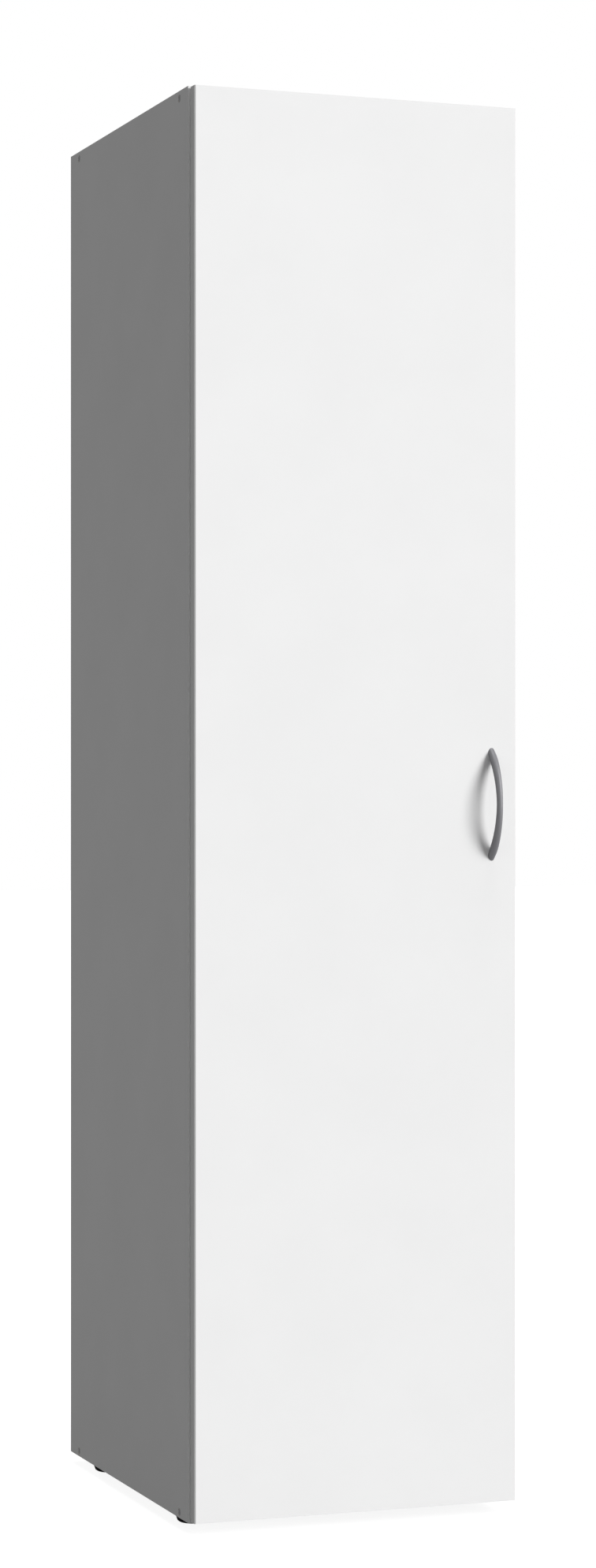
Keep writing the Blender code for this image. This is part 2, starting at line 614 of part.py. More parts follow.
def make_cup(word, z, pivot, parent):
    """A pressed cup let into the door, with its flange, pivot pin and two screws."""
    start = FIT
    outer = CUP_HOLE_RADIUS - FIT
    base = (CUP_X, DOOR_REAR_Y, z)
    depth = CUP_HOLE_DEPTH - FIT
    cup = solid("hinge_cup_" + word,
                [turned([(-depth, outer), (start + FLANGE_THICK / 2, outer)], base, (0, 1, 0), ROUND_FINE)],
                pivot, parent)
    rim_profile = [(start, FLANGE_RADIUS), (start + FLANGE_THICK, FLANGE_RADIUS)]
    rim = turned(rim_profile, base, (0, 1, 0), ROUND_FINE)
    wing_x = CUP_X + WING_OFFSET
    wing = prism(capsule((wing_x, z - WING_REACH), (wing_x, z + WING_REACH), WING_RADIUS), "Y",
                 DOOR_REAR_Y + start, DOOR_REAR_Y + start + FLANGE_THICK)
    join(cup, [rim, wing], pivot, parent)
    cut(cup, [turned([(CUP_FLOOR - depth, CUP_WALL_INNER), (FLANGE_THICK + OVERCUT, CUP_WALL_INNER)],
                     base, (0, 1, 0), ROUND_FINE)], pivot, parent)
    half = math.sqrt(CUP_WALL_INNER ** 2 - (CUP_X - CUP_AXIS[0]) ** 2) + (outer - CUP_WALL_INNER) / 2
    pin = turned([(z - half, PIVOT_PIN_RADIUS), (z + half, PIVOT_PIN_RADIUS)],
                 (CUP_AXIS[0], CUP_AXIS[1], 0), (0, 0, 1), ROUND_SMALL)
    top = start + FLANGE_THICK + CUP_SCREW_HEAD
    profile = [(-CUP_SCREW_LENGTH, CUP_SCREW_RADIUS), (start + FLANGE_THICK / 2, CUP_SCREW_RADIUS),
               (start + FLANGE_THICK / 2, CUP_SCREW_HEAD_RADIUS), (top, CUP_SCREW_HEAD_RADIUS * HEAD_CROWN)]
    join(cup, [pin] + [turned(profile, place, (0, 1, 0), ROUND_HOLE) for place in cup_screw_places(z)],
         pivot, parent)
    smooth(cup)
    paint(cup, "plated_steel")


def make_link(word, z):
    """The link between the arm's pin and the cup's pin, an eye at each end, its origin on the arm's pin."""
    pivot = (ARM_AXIS[0], ARM_AXIS[1], z)
    low, high = z - LINK_HALF_WIDTH, z + LINK_HALF_WIDTH
    link = solid("hinge_link_" + word,
                 [prism(capsule(ARM_AXIS, CUP_AXIS, LINK_WAIST), "Z", low, high)], pivot)
    eyes = []
    holes = []
    for axis in (ARM_AXIS, CUP_AXIS):
        origin = (axis[0], axis[1], 0)
        eyes.append(turned([(low, LINK_EYE_RADIUS), (high, LINK_EYE_RADIUS)], origin, (0, 0, 1), ROUND))
        hole = [(low - OVERCUT, PIVOT_PIN_RADIUS + FIT), (high + OVERCUT, PIVOT_PIN_RADIUS + FIT)]
        holes.append(turned(hole, origin, (0, 0, 1), ROUND_SMALL))
    join(link, eyes, pivot)
    cut(link, holes, pivot)
    smooth(link)
    paint(link, "plated_steel")


def arm_outline():
    """The arm seen from above: a round nose at its pin, a neck straight back, then a slant to the plate."""
    seat = LEFT_X + BOARD + FIT + PLATE_THICK + FIT
    heel = FRONT_Y + PLATE_FRONT + PLATE_LENGTH
    neck = FRONT_Y + ARM_NECK
    nose = arc(ARM_AXIS, ARM_NOSE_RADIUS, 180, 360, NOSE_STEPS)
    far_side = [(ARM_AXIS[0] + ARM_NOSE_RADIUS, neck + ARM_LAG),
                (seat + ARM_BODY, neck + ARM_SLANT + ARM_LAG), (seat + ARM_BODY, heel)]
    near_side = [(seat, heel), (seat, neck + ARM_SLANT), (ARM_AXIS[0] - ARM_NOSE_RADIUS, neck)]
    return nose + far_side + near_side


def make_arm(word, z):
    """The hinge arm: solid at the plate and forked at its nose, with the pivot pin across the fork."""
    arm = solid("hinge_arm_" + word,
                [prism(arm_outline(), "Z", z - ARM_HALF_WIDTH, z + ARM_HALF_WIDTH)])
    inside = ARM_HALF_WIDTH - ARM_SHEET
    wall = ARM_AXIS[1] + ARM_NOSE_RADIUS + LINK_EYE_RADIUS
    room = [(LEFT_X + BOARD, DOOR_FRONT_Y), (RIGHT_X, DOOR_FRONT_Y), (RIGHT_X, wall), (LEFT_X + BOARD, wall)]
    cut(arm, [prism(room, "Z", z - inside, z + inside)])
    half = ARM_HALF_WIDTH - ARM_SHEET / 2
    join(arm, [turned([(z - half, PIVOT_PIN_RADIUS), (z + half, PIVOT_PIN_RADIUS)],
                      (ARM_AXIS[0], ARM_AXIS[1], 0), (0, 0, 1), ROUND_SMALL)])
    smooth(arm)
    paint(arm, "plated_steel")


def plate_screw_places():
    """The two screws of each mounting plate, on the left side's inner face."""
    return [(-INNER_X, FRONT_Y + PLATE_SCREW_FROM_FRONT, z + way * PLATE_WING)
            for z in HINGE_HEIGHTS.values() for way in (-1, 1)]


def make_plate(word, z):
    """The mounting plate under the arm, with wings above and below for its two screws."""
    x = -INNER_X + FIT
    front = FRONT_Y + PLATE_FRONT
    plate = solid("hinge_plate_" + word,
                  [block((x, front, z - PLATE_HALF_HEIGHT),
                         (x + PLATE_THICK, front + PLATE_LENGTH, z + PLATE_HALF_HEIGHT))])
    screw_y = FRONT_Y + PLATE_SCREW_FROM_FRONT
    wing = prism(capsule((screw_y, z - PLATE_WING), (screw_y, z + PLATE_WING), WING_RADIUS), "X",
                 x, x + PLATE_THICK)
    top = FIT + PLATE_THICK + PLATE_SCREW_HEAD
    profile = [(-PLATE_SCREW_LENGTH, PLATE_SCREW_RADIUS), (FIT + PLATE_THICK / 2, PLATE_SCREW_RADIUS),
               (FIT + PLATE_THICK / 2, PLATE_SCREW_HEAD_RADIUS), (top, PLATE_SCREW_HEAD_RADIUS * HEAD_CROWN)]
    screws = [turned(profile, (-INNER_X, screw_y, z + way * PLATE_WING), (1, 0, 0), ROUND_HOLE)
              for way in (-1, 1)]
    join(plate, [wing] + screws)
    smooth(plate)
    paint(plate, "plated_steel")


def clear_scene():
    """Removes whatever the file held."""
    for obj in list(bpy.data.objects):
        bpy.data.objects.remove(obj)


def main():
    clear_scene()
    make_side("left_side", -1)
    make_side("right_side", 1)
    make_level("bottom_panel", CASE_BOTTOM, True)
    make_level("top_panel", ROOF_BOTTOM, False)
    make_back()
    make_shelves()
    make_cams()
    make_shelf_pins()
    make_case_screws()
    make_feet()
    pivot = (CUP_AXIS[0], CUP_AXIS[1], 0.0)
    swing = bpy.data.objects.new("door_swing_axis", None)
    swing.location = pivot
    bpy.context.collection.objects.link(swing)
    make_door(pivot, swing)
    make_edging(pivot, swing)
    make_handle(pivot, swing)
    make_bumpers(pivot, swing)
    for word, z in HINGE_HEIGHTS.items():
        make_cup(word, z, pivot, swing)
        make_link(word, z)
        make_arm(word, z)
        make_plate(word, z)


main()
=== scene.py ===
"""Looks of the tall single-door cupboard: finishes, smooth metal and plastic pieces, light and camera.

Metres, +Z up, the door faces -Y. Every new piece lies in place in its mesh, with its object at the origin.
"""
import math

import bpy
import numpy as np
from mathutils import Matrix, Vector


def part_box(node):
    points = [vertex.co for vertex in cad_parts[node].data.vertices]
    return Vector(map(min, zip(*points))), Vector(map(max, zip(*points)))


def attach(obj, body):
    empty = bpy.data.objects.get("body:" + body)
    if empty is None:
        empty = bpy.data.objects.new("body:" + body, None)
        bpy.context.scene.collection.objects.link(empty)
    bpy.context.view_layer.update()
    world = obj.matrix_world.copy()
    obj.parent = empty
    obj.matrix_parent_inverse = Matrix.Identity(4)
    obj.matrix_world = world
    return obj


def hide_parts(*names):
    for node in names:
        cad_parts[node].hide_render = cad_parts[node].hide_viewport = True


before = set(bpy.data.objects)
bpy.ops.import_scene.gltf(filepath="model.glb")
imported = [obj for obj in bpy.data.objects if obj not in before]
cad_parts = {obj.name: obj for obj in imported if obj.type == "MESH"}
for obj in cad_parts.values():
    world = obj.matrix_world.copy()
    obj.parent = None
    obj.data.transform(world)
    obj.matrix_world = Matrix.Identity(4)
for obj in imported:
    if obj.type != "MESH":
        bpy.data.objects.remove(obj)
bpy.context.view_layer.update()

# Sizes that the new pieces share with the solids
BOARD = 0.016
FIT = 0.0003
LEFT_X, RIGHT_X = -0.225, 0.225
FRONT_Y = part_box("left_side")[0][1]
BACK_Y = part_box("left_side")[1][1]
CASE_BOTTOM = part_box("left_side")[0][2]
CASE_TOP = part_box("left_side")[1][2]
MID_Z = (CASE_BOTTOM + CASE_TOP) / 2
DOOR_LOW, DOOR_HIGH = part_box("door_edging_left")[0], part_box("door_edging_right")[1]
DOOR_LEFT, DOOR_RIGHT = DOOR_LOW[0], DOOR_HIGH[0]
DOOR_FRONT_Y, DOOR_REAR_Y = DOOR_LOW[1], DOOR_HIGH[1]
DOOR_BOTTOM, DOOR_TOP = DOOR_LOW[2], DOOR_HIGH[2]
HANDLE_X = DOOR_RIGHT - 0.0339
HANDLE_SCREWS = {"upper": MID_Z + 0.064, "lower": MID_Z - 0.064}
CASE_SCREW_Z = {"top": CASE_TOP - 0.0097, "bottom": CASE_BOTTOM + 0.0075}
CASE_SCREW_Y = {"front": FRONT_Y + 0.035, "rear": BACK_Y - 0.041}
HINGES = {"lower": DOOR_BOTTOM + 0.100, "middle": MID_Z, "upper": DOOR_TOP - 0.100}
CUP_X = DOOR_LEFT + 0.0225
ARM_AXIS = (LEFT_X + 0.0362, FRONT_Y - 0.0095)
CUP_AXIS = (LEFT_X + 0.0175, FRONT_Y - 0.0062)
PIN_RADIUS = 0.0013
NOSE_RADIUS = 0.0028
ARM_SEAT = LEFT_X + BOARD + 0.0036
ARM_HEIGHT = 0.009
ENDS = ("front", "rear")
SIDES = ("left", "right")


# Colour and node helpers

def linear(code):
    """An sRGB hex code as a linear RGBA colour."""
    channels = [int(code[i:i + 2], 16) / 255 for i in (1, 3, 5)]
    return [c / 12.92 if c <= 0.04045 else ((c + 0.055) / 1.055) ** 2.4 for c in channels] + [1.0]


def add(tree, kind, inputs=None, **settings):
    """Adds a shader node. Inputs map a socket's name or number to a value or to another node's socket."""
    made = tree.nodes.new("ShaderNode" + kind)
    for key, value in settings.items():
        setattr(made, key, value)
    for key, value in (inputs or {}).items():
        if isinstance(value, bpy.types.NodeSocket):
            tree.links.new(value, made.inputs[key])
        else:
            made.inputs[key].default_value = value
    return made


def new_material(name, roughness, metallic=0.0, specular=0.5):
    """A material with its shader's even values set, and its tree and shader."""
    material = bpy.data.materials.new(name)
    material.use_nodes = True
    shader = material.node_tree.nodes["Principled BSDF"]
    shader.inputs["Roughness"].default_value = roughness
    shader.inputs["Metallic"].default_value = metallic
    shader.inputs["Specular IOR Level"].default_value = specular
    return material, material.node_tree, shader


def grain(tree, size, detail=2.0, stretch=(1, 1, 1)):
    """Noise in object space whose features are about the given size in metres."""
    place = add(tree, "TexCoord")
    turned = add(tree, "Mapping", {"Vector": place.outputs["Object"], "Scale": stretch})
    noise = add(tree, "TexNoise", {"Vector": turned.outputs[0], "Scale": 1 / size, "Detail": detail})
    return noise.outputs[0]


def span(tree, value, low, high, start, end):
    """Maps a value from low..high to start..end, clamped."""
    return add(tree, "MapRange", {"Value": value, "From Min": low, "From Max": high,
                                  "To Min": start, "To Max": end}).outputs[0]


def calc(tree, kind, first, second=0.0):
    """A math node's result. Kinds of one value leave the second alone."""
    return add(tree, "Math", {0: first, 1: second}, operation=kind).outputs[0]


def blend_colour(tree, share, first, second):
    """Mixes two colours, each a hex code or a socket."""
    mix = add(tree, "Mix", {"Factor": share}, data_type="RGBA", blend_type="MIX")
    for number, colour in ((6, first), (7, second)):
        if isinstance(colour, str):
            mix.inputs[number].default_value = linear(colour)
        else:
            tree.links.new(colour, mix.inputs[number])
    return mix.outputs[2]


def mottle(tree, field, edge, first, second):
    """Runs from the first colour, where a field is below the edge, to the second, above 1 - the edge."""
    return blend_colour(tree, span(tree, field, edge, 1 - edge, 0.0, 1.0), first, second)


def bump(tree, shader, height, strength, distance):
    """Feeds a height into the shader's normal."""
    node = add(tree, "Bump", {"Height": height, "Strength": strength, "Distance": distance})
    tree.links.new(node.outputs[0], shader.inputs["Normal"])


def parts_of(tree):
    """Object-space position and normal as separate numbers."""
    place = add(tree, "TexCoord")
    where = add(tree, "SeparateXYZ", {0: place.outputs["Object"]}).outputs
    facing = add(tree, "SeparateXYZ", {0: place.outputs["Normal"]}).outputs
    return where, facing


# Finishes

# Each laminate's two cloud colours, and the colour of its finest grain
GREY_FACE = ("#7D7D7D", "#7F7F7F", "#898989")
WHITE_FACE = ("#EFEFEF", "#F1F1F1", "#EAEAEA")
FRONT_EDGING = "#EAEAEA"


def chipboard_colour(tree):
    """Raw chipboard as it shows on a sawn edge: pressed wood chips of 1 to 4 mm, tan and brown."""
    chips = add(tree, "TexVoronoi", {"Vector": add(tree, "TexCoord").outputs["Object"], "Scale": 1 / 0.0028})
    shade = add(tree, "SeparateColor", {0: chips.outputs["Color"]}).outputs[0]
    light = blend_colour(tree, shade, "#A98556", "#D2B58A")
    return blend_colour(tree, span(tree, grain(tree, 0.0012), 0.4, 0.62, 0.0, 0.35), light, "#7A5A36")


def melamine(name, face, edging, core_box, face_axis):
    """Melamine faced chipboard: paper set in resin, pressed against a finely etched plate.

    The face is even and satin with a grain of about a millimetre. The front edge carries a plastic
    edging, and the sawn rear edge and the bored holes show the chipboard. A hole's wall is what turns
    away from the face's axis and lies deeper than a skin's width inside the core's box.
    """
    material, tree, shader = new_material(name, 0.65, specular=0.12)
    where, facing = parts_of(tree)
    fine = grain(tree, 0.0013, 3.0)
    colour = mottle(tree, grain(tree, 0.11, 3.0), 0.3, face[0], face[1])
    colour = blend_colour(tree, span(tree, fine, 0.3, 0.7, 0.0, 0.06), colour, face[2])
    low, high = core_box
    skin = 0.001
    raw = calc(tree, "LESS_THAN", calc(tree, "ABSOLUTE", facing[face_axis]), 0.5)
    for axis in (k for k in range(3) if k != face_axis):
        raw = calc(tree, "MULTIPLY", raw, calc(tree, "GREATER_THAN", where[axis], low[axis] + skin))
        raw = calc(tree, "MULTIPLY", raw, calc(tree, "LESS_THAN", where[axis], high[axis] - skin))
    if edging:
        front = calc(tree, "LESS_THAN", facing[1], -0.9)
        colour = blend_colour(tree, front, colour, edging)
        sawn = calc(tree, "MAXIMUM", raw, calc(tree, "GREATER_THAN", facing[1], 0.9))
        raw = calc(tree, "MULTIPLY", sawn, calc(tree, "LESS_THAN", front, 0.5))
    colour = blend_colour(tree, raw, colour, chipboard_colour(tree))
    tree.links.new(colour, shader.inputs["Base Color"])
    rough = span(tree, fine, 0.3, 0.7, 0.60, 0.70)
    rough = calc(tree, "MAXIMUM", rough, calc(tree, "MULTIPLY", raw, 0.9))
    tree.links.new(rough, shader.inputs["Roughness"])
    height = calc(tree, "ADD", fine, calc(tree, "MULTIPLY", raw, grain(tree, 0.0016, 4.0)))
    bump(tree, shader, height, 0.12, 0.0002)
    return material


def hardboard():
    """Hardboard: wood fibres pressed under heat. Its front is lacquered grey, its back is bare brown.

    The bare face keeps the print of the wire screen that it was pressed on, drawn here at 3 mm.
    """
    material, tree, shader = new_material("lacquered_hardboard", 0.6, specular=0.25)
    where, facing = parts_of(tree)
    bare = calc(tree, "GREATER_THAN", facing[1], -0.5)
    fibres = grain(tree, 0.0022, 4.0, (1.0, 1.0, 0.45))
    brown = mottle(tree, fibres, 0.35, "#6B4A2C", "#8C6740")
    brown = blend_colour(tree, span(tree, grain(tree, 0.05, 3.0), 0.35, 0.65, 0.0, 0.5), brown, "#7A573A")
    painted = mottle(tree, grain(tree, 0.09), 0.3, GREY_FACE[0], GREY_FACE[1])
    tree.links.new(blend_colour(tree, bare, painted, brown), shader.inputs["Base Color"])
    screen = 2 * math.pi / 0.003
    across, up = [calc(tree, "SINE", calc(tree, "MULTIPLY", where[k], screen)) for k in (0, 2)]
    wires = calc(tree, "MULTIPLY", calc(tree, "MULTIPLY", across, up), bare)
    height = calc(tree, "ADD", calc(tree, "MULTIPLY", wires, 0.5), fibres)
    bump(tree, shader, height, 0.25, 0.0003)
    return material


def door_edging(name, corner=None):
    """ABS edging, an extruded grey band, glued on and trimmed, matt with faint lines along its length.

    The door's white laminate is laid over the band and shows on all that faces the front. With a corner
    colour given, a painted highlight in that lighter colour lies between the two on a rounded corner.
    """
    material, tree, shader = new_material(name, 0.6, specular=0.12)
    where, facing = parts_of(tree)
    lines = grain(tree, 0.0006, 2.0, (1.0, 1.0, 0.01))
    shade = mottle(tree, lines, 0.3, "#7C7C7C", "#808080")
    # Painted highlight: a lighter grey on the rounded corner's faces that turn towards the front, near the
    # door's front
    if corner:
        ahead = calc(tree, "LESS_THAN", where[1], DOOR_FRONT_Y + 0.004)
        turn = calc(tree, "MULTIPLY", span(tree, facing[1], -0.16, -0.06, 1.0, 0.0), ahead)
        shade = blend_colour(tree, turn, shade, corner)
    shade = blend_colour(tree, calc(tree, "LESS_THAN", facing[1], -0.99), shade, WHITE_FACE[0])
    tree.links.new(shade, shader.inputs["Base Color"])
    bump(tree, shader, lines, 0.08, 0.0001)
    return material


def silver_lacquer():
    """Die-cast zinc in satin silver lacquer: aluminium flakes in a matt clear coat, slightly blue."""
    material, tree, shader = new_material("silver_lacquered_zinc", 0.52, metallic=0.15, specular=1.0)
    flakes = grain(tree, 0.0005, 2.0)
    shade = mottle(tree, flakes, 0.3, "#5E5E62", "#68686C")
    tree.links.new(shade, shader.inputs["Base Color"])
    tree.links.new(span(tree, flakes, 0.3, 0.7, 0.49, 0.55), shader.inputs["Roughness"])
    bump(tree, shader, flakes, 0.05, 0.0001)
    return material


def black_moulding():
    """Polypropylene, moulded black with an eroded surface, matt."""
    material, tree, shader = new_material("black_polypropylene", 0.75, specular=0.02)
    spark = grain(tree, 0.0008, 2.0)
    shade = mottle(tree, spark, 0.35, "#020202", "#070707")
    tree.links.new(shade, shader.inputs["Base Color"])
    bump(tree, shader, spark, 0.15, 0.0002)
    return material


def phosphated_steel():
    """Screw steel with a phosphate coat: crystals that leave it dark grey and matt."""
    material, tree, shader = new_material("phosphated_steel", 0.65, metallic=0.3, specular=0.2)
    crystals = grain(tree, 0.0004, 3.0)
    shade = mottle(tree, crystals, 0.35, "#565656", "#626263")
    tree.links.new(shade, shader.inputs["Base Color"])
    bump(tree, shader, crystals, 0.1, 0.0001)
    return material


def plated_steel(name, dark, light, rough_low, rough_high):
    """Pressed or turned steel under a thin electroplated coat: a bright metal with fine tumbling marks."""
    material, tree, shader = new_material(name, rough_low, metallic=1.0)
    marks = grain(tree, 0.0011, 3.0)
    tree.links.new(mottle(tree, marks, 0.35, dark, light), shader.inputs["Base Color"])
    tree.links.new(span(tree, marks, 0.3, 0.7, rough_low, rough_high), shader.inputs["Roughness"])
    bump(tree, shader, marks, 0.02, 0.0001)
    return material


def soft_pad():
    """Clear polyurethane drop, soft and glossy, a little milky."""
    material, tree, shader = new_material("clear_polyurethane", 0.22)
    shade = mottle(tree, grain(tree, 0.002), 0.3, "#D9DAD6", "#E6E6E2")
    tree.links.new(shade, shader.inputs["Base Color"])
    shader.inputs["Subsurface Weight"].default_value = 0.3
    shader.inputs["Subsurface Radius"].default_value = (0.002, 0.002, 0.002)
    return material


NICKEL = plated_steel("nickel_plated_steel", "#B4B3AF", "#BFBEB9", 0.30, 0.38)
ZINC = plated_steel("zinc_plated_steel", "#92949A", "#A4A6AB", 0.34, 0.44)
SILVER = silver_lacquer()
BLACK = black_moulding()
PAD = soft_pad()
SCREW = phosphated_steel()
EDGE = door_edging("grey_abs_edging")
# The rounded band's corner colour, #B2B2B2, is a painted highlight on its rounded corner
EDGE_ROUNDED_PAINTED_HIGHLIGHT = door_edging("grey_abs_edging_rounded_painted_highlight", "#B2B2B2")


def dress_nodes():
    """Gives each CAD node its finish."""
    core = ((LEFT_X, FRONT_Y, CASE_BOTTOM), (RIGHT_X, BACK_Y, CASE_TOP))
    side = melamine("grey_melamine_side", GREY_FACE, FRONT_EDGING, core, 0)
    level = melamine("grey_melamine_level", GREY_FACE, FRONT_EDGING, core, 2)
    door_core = ((DOOR_LEFT, DOOR_FRONT_Y, DOOR_BOTTOM), (DOOR_RIGHT, DOOR_REAR_Y, DOOR_TOP))
    door = melamine("white_melamine_door", WHITE_FACE, None, door_core, 1)
    back = hardboard()
    rules = (("left_side", side), ("right_side", side), ("top_panel", level), ("bottom_panel", level),
             ("shelf_cam", ZINC), ("fixed_shelf", level), ("shelf_", level), ("back_panel", back),
             ("pin_", NICKEL), ("case_screw", SCREW), ("handle_screw", ZINC), ("foot", BLACK),
             ("door_panel", door), ("door_edging_left", EDGE_ROUNDED_PAINTED_HIGHLIGHT), ("door_edging", EDGE),
             ("bow_handle", SILVER), ("hinge", NICKEL), ("door_bumper", PAD))
    for name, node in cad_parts.items():
        for start, material in rules:
            if name.startswith(start):
                for slot in node.material_slots:
                    slot.material = material
                break


# Surfaces

def quads_between(rows, cols):
    """Quads that join each ring of points to the next one."""
    here, column = np.arange(rows - 1)[:, None] * cols, np.arange(cols)[None, :]
    after, beside = here + cols, (column + 1) % cols
    return np.stack([here + column, here + beside, after + beside, after + column], -1).reshape(-1, 4)


def surface(name, rings, material, body, replaced=(), crease=35, ends="fan", ease=0.0):
    """A closed piece from rings of points, an array of rings x points x 3.

    Neighbouring rings are joined by quads, and each ring closes on itself. An end ring is closed by a
    fan to its own centre, or by one flat polygon.
    """
    rows, cols = rings.shape[:2]
    points = rings.reshape(-1, 3)
    faces = [quads_between(rows, cols)]
    around = np.arange(cols)
    last = (rows - 1) * cols
    if ends == "fan":
        points = np.vstack([points, rings[0].mean(0), rings[-1].mean(0)])
        beside = (around + 1) % cols
        faces.append(np.stack([np.full(cols, rows * cols), beside, around], -1))
        faces.append(np.stack([np.full(cols, rows * cols + 1), last + around, last + beside], -1))
    else:
        faces.append(around[None, ::-1])
        faces.append(last + around[None, :])
    keep(name, points, faces, material, body, replaced, crease, ease)


def keep(name, points, faces, material, body, replaced, crease, ease):
    """Makes the mesh, turns it outwards, shades it and lets it ride. Ease is the width of its bevels.

    The volume is the sum over triangles of a . (b x c) / 6. A negative one means inward faces.
    """
    local = points - points.mean(0)
    volume = 0.0
    for group in faces:
        a, b, c = local[group[:, :1]], local[group[:, 1:-1]], local[group[:, 2:]]
        volume += np.einsum("ijk,ijk->", np.broadcast_to(a, b.shape), np.cross(b, c))
    if volume < 0:
        faces = [group[:, ::-1] for group in faces]
    mesh = bpy.data.meshes.new(name)
    mesh.from_pydata(points.tolist(), [], [polygon for group in faces for polygon in group.tolist()])
    mesh.shade_smooth()
    mesh.set_sharp_from_angle(angle=math.radians(crease))
    mesh.materials.append(material)
    piece = bpy.data.objects.new(name, mesh)
    bpy.context.collection.objects.link(piece)
    if ease:
        bevel = piece.modifiers.new("eased_edges", "BEVEL")
        bevel.width = ease
        bevel.segments = 2
        bevel.limit_method = "ANGLE"
        bevel.angle_limit = math.radians(crease)
    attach(piece, body)
    if replaced:
        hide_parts(*replaced)


def prism(outline, axis, start, end):
    """Two rings of a flat outline, moved along an axis. The outline holds the two other coordinates."""
    outline = np.asarray(outline, float)
    rings = np.empty((2, len(outline), 3))
    rings[:, :, [k for k in range(3) if k != axis]] = outline
    rings[:, :, axis] = np.array([[start], [end]])
    return rings


def arc(centre, radius, start, end, steps):
    """Points on a circle between two angles in degrees."""
    turn = np.radians(np.linspace(start, end, steps))
    return np.stack([centre[0] + radius * np.cos(turn), centre[1] + radius * np.sin(turn)], -1)


def rounded(profile, radius, steps=4):
    """A profile with each inner corner replaced by a curve of the given size.

    Each corner point gives a quadratic curve between the points that lie the radius before and after it.
    """
    profile = np.asarray(profile, float)
    out = [profile[0]]
    share = np.linspace(0, 1, steps + 1)[:, None]
    for before, corner, after in zip(profile[:-2], profile[1:-1], profile[2:]):
        one, two = before - corner, after - corner
        reach = min(radius, 0.45 * np.linalg.norm(one), 0.45 * np.linalg.norm(two))
        start = corner + one / np.linalg.norm(one) * reach
        end = corner + two / np.linalg.norm(two) * reach
        out += list((1 - share) ** 2 * start + 2 * share * (1 - share) * corner + share ** 2 * end)
    return np.array(out + [profile[-1]])


def turned(profile, origin, direction, sides):
    """Rings of a turned shape: (distance, radius) points spun about a line through the origin."""
    direction = np.asarray(direction, float)
    across = np.cross(direction, [0.0, 0.0, 1.0] if abs(direction[2]) < 0.9 else [1.0, 0.0, 0.0])
    across /= np.linalg.norm(across)
    upward = np.cross(direction, across)
    turn = np.linspace(0, 2 * np.pi, sides, endpoint=False)
    spoke = np.cos(turn)[:, None] * across + np.sin(turn)[:, None] * upward
    profile = np.asarray(profile, float)
    return np.asarray(origin) + profile[:, 0, None, None] * direction + profile[:, 1, None, None] * spoke


def make_handle():
    """The bow: a round bar along a circular arc, thicker towards its ends, sliced by the door's front.

    The arc's radius is (half chord squared + rise squared) / (2 x rise). The bar's radius is its middle
    value plus the swell x (share of the way to the end to the power 1.25), less the ease x (the way
    into the last fifth squared), which rounds the tips.
    """
    half, rise, bar, swell, ease = 0.0670, 0.0270, 0.0041, 0.0015, 0.0009
    radius = (half ** 2 + rise ** 2) / (2 * rise)
    share = np.linspace(-1, 1, 121)
    turn = share * math.asin(half / radius)
    spin = np.linspace(0, 2 * np.pi, 40, endpoint=False)
    plane = DOOR_FRONT_Y - 0.00005
    out = np.stack([0 * turn, -np.cos(turn), np.sin(turn)], -1)
    along = np.stack([0 * turn, np.sin(turn), np.cos(turn)], -1)
    middle = np.array([HANDLE_X, DOOR_FRONT_Y - FIT - rise + radius, MID_Z]) + out * radius
    tip = np.clip(1 - (1 - np.abs(share)) / 0.2, 0, None)
    size = (bar + swell * np.abs(share) ** 1.25 - ease * tip ** 2)[:, None, None]
    across = np.array([1.0, 0.0, 0.0]) * np.sin(spin)[:, None]
    rings = middle[:, None] + size * (out[:, None] * np.cos(spin)[:, None] + across)
    for end in (0, -1):
        slide = np.maximum(plane - rings[end, :, 1], 0) / along[end, 1]
        rings[end] += slide[:, None] * along[end]
    rings[..., 1] = np.clip(rings[..., 1], DOOR_FRONT_Y - FIT - rise - bar, plane)
    surface("bow_handle_bar", rings, SILVER, "door", ("bow_handle",), crease=50)


def make_feet():
    """Each foot: a tapered moulding with a bevelled lower edge, its corners eased.

    The steps are heights over the floor and radii. The two on the axis only guide the easing.
    """
    steps = [(0.0, 0.0), (0.0, 0.0168), (0.0021, 0.0201), (0.0147, 0.0247), (0.0147, 0.0)]
    profile = rounded(steps, 0.0007)[1:-1]
    for end in ENDS:
        for side in SIDES:
            node = f"foot_{end}_{side}"
            low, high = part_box(node)
            centre = [(low[0] + high[0]) / 2, (low[1] + high[1]) / 2, 0.0]
            rings = turned(profile, centre, (0, 0, 1), 72)
            surface(node + "_moulding", rings, BLACK, "root", (node,))


def make_edging():
    """The door's bands, each pressed right up to the door's panel. The thick one has rounded corners."""
    inner = DOOR_LEFT + 0.002 + FIT
    front, rear = 0.0019, 0.0010
    outline = np.vstack([[[inner, DOOR_FRONT_Y]],
                         arc((DOOR_LEFT + front, DOOR_FRONT_Y + front), front, 270, 180, 25),
                         arc((DOOR_LEFT + rear, DOOR_REAR_Y - rear), rear, 180, 90, 9),
                         [[inner, DOOR_REAR_Y]]])
    surface("door_edging_left_band", prism(outline, 2, DOOR_BOTTOM, DOOR_TOP), EDGE_ROUNDED_PAINTED_HIGHLIGHT, "door",
            ("door_edging_left",), ends="flat")
    band = 0.0008 + FIT
    outer = DOOR_RIGHT - band
    boxes = {"right": ((outer, DOOR_FRONT_Y, DOOR_BOTTOM), (DOOR_RIGHT, DOOR_REAR_Y, DOOR_TOP)),
             "top": ((inner, DOOR_FRONT_Y, DOOR_TOP - band), (outer, DOOR_REAR_Y, DOOR_TOP)),
             "bottom": ((inner, DOOR_FRONT_Y, DOOR_BOTTOM), (outer, DOOR_REAR_Y, DOOR_BOTTOM + band))}
    for word, ((x0, y0, z0), (x1, y1, z1)) in boxes.items():
        rings = prism([(x0, y0), (x1, y0), (x1, y1), (x0, y1)], 2, z0, z1)
        surface(f"door_edging_{word}_band", rings, EDGE, "door", (f"door_edging_{word}",),
                ends="flat")


# Screws and pins

